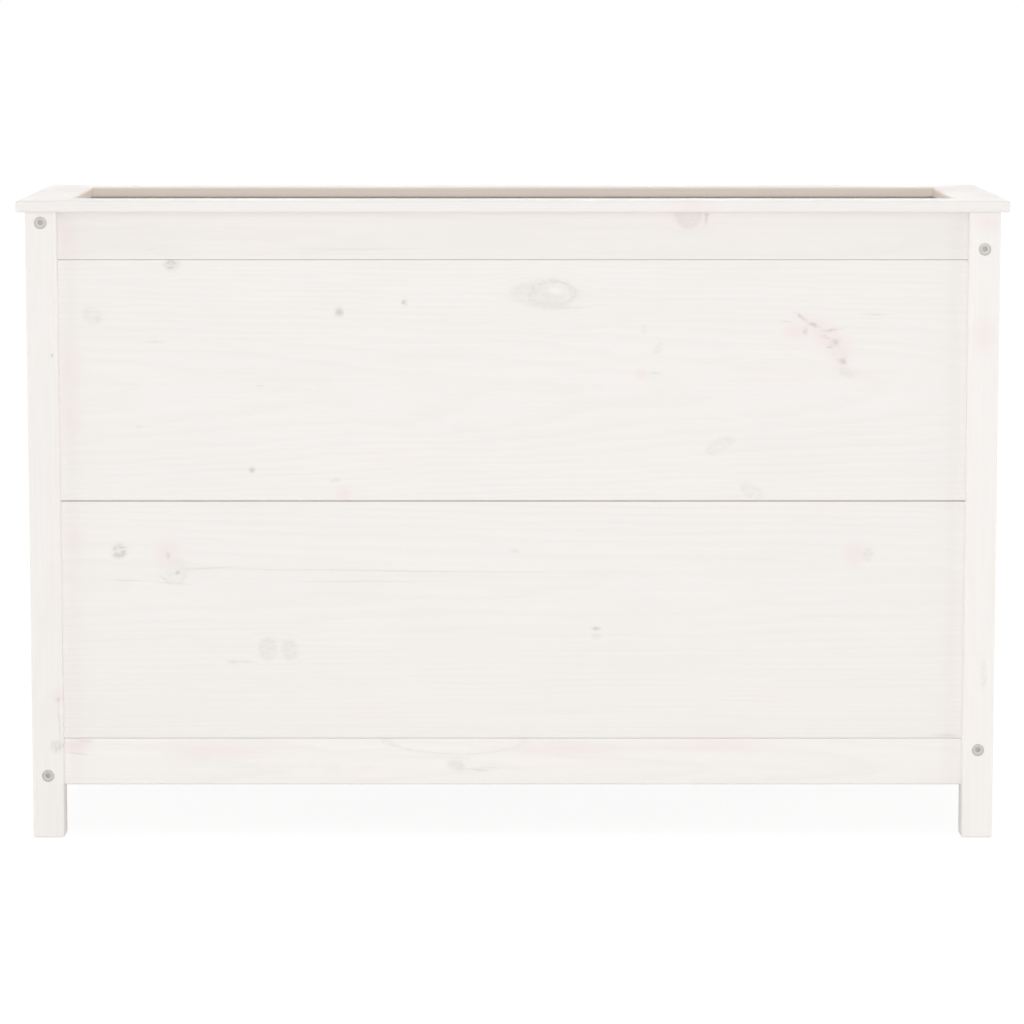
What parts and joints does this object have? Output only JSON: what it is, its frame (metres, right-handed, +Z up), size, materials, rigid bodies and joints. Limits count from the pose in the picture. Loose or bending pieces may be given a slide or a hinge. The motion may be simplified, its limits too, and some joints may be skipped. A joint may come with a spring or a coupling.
{
  "type": "raised garden bed",
  "caption": "Deep rectangular planting box of white stained pine on square legs, with plank walls between bolted rails, a mitred flat rim and a slatted draining floor.",
  "frame": {"origin": "on the floor under the middle of the bed's footprint", "axes": "+X along the bed to the right seen from the front, +Y from the front to the back, +Z up"},
  "size_m": [1.195, 0.4, 0.78],
  "materials": {
    "white_stained_pine": "thin satin white stain over planed knotty pine",
    "zinc_plated_steel": "zinc plated, satin",
    "beech_dowel": "bare turned beech"
  },
  "bodies": {
    "root": {"leg_front_left": "white_stained_pine", "leg_front_right": "white_stained_pine", "leg_back_right": "white_stained_pine", "leg_back_left": "white_stained_pine", "rim_front": "white_stained_pine", "rim_right": "white_stained_pine", "rim_back": "white_stained_pine", "rim_left": "white_stained_pine", "top_rail_front": "white_stained_pine", "top_rail_right": "white_stained_pine", "top_rail_back": "white_stained_pine", "top_rail_left": "white_stained_pine", "upper_board_front": "white_stained_pine", "upper_board_right": "white_stained_pine", "upper_board_back": "white_stained_pine", "upper_board_left": "white_stained_pine", "lower_board_front": "white_stained_pine", "lower_board_right": "white_stained_pine", "lower_board_back": "white_stained_pine", "lower_board_left": "white_stained_pine", "bottom_rail_front": "white_stained_pine", "bottom_rail_right": "white_stained_pine", "bottom_rail_back": "white_stained_pine", "bottom_rail_left": "white_stained_pine", "floor_bearer_front": "white_stained_pine", "floor_bearer_back": "white_stained_pine", "centre_batten_front": "white_stained_pine", "centre_batten_back": "white_stained_pine", "floor_slat_01": "white_stained_pine", "floor_slat_02": "white_stained_pine", "floor_slat_03": "white_stained_pine", "floor_slat_04": "white_stained_pine", "floor_slat_05": "white_stained_pine", "floor_slat_06": "white_stained_pine", "floor_slat_07": "white_stained_pine", "floor_slat_08": "white_stained_pine", "floor_slat_09": "white_stained_pine", "floor_slat_10": "white_stained_pine", "leg_bolts": "zinc_plated_steel", "barrel_nuts": "zinc_plated_steel", "rim_screws": "zinc_plated_steel", "bearer_screws": "zinc_plated_steel", "batten_screws": "zinc_plated_steel", "slat_screws": "zinc_plated_steel", "rail_dowels": "beech_dowel"}
  },
  "joints": []
}
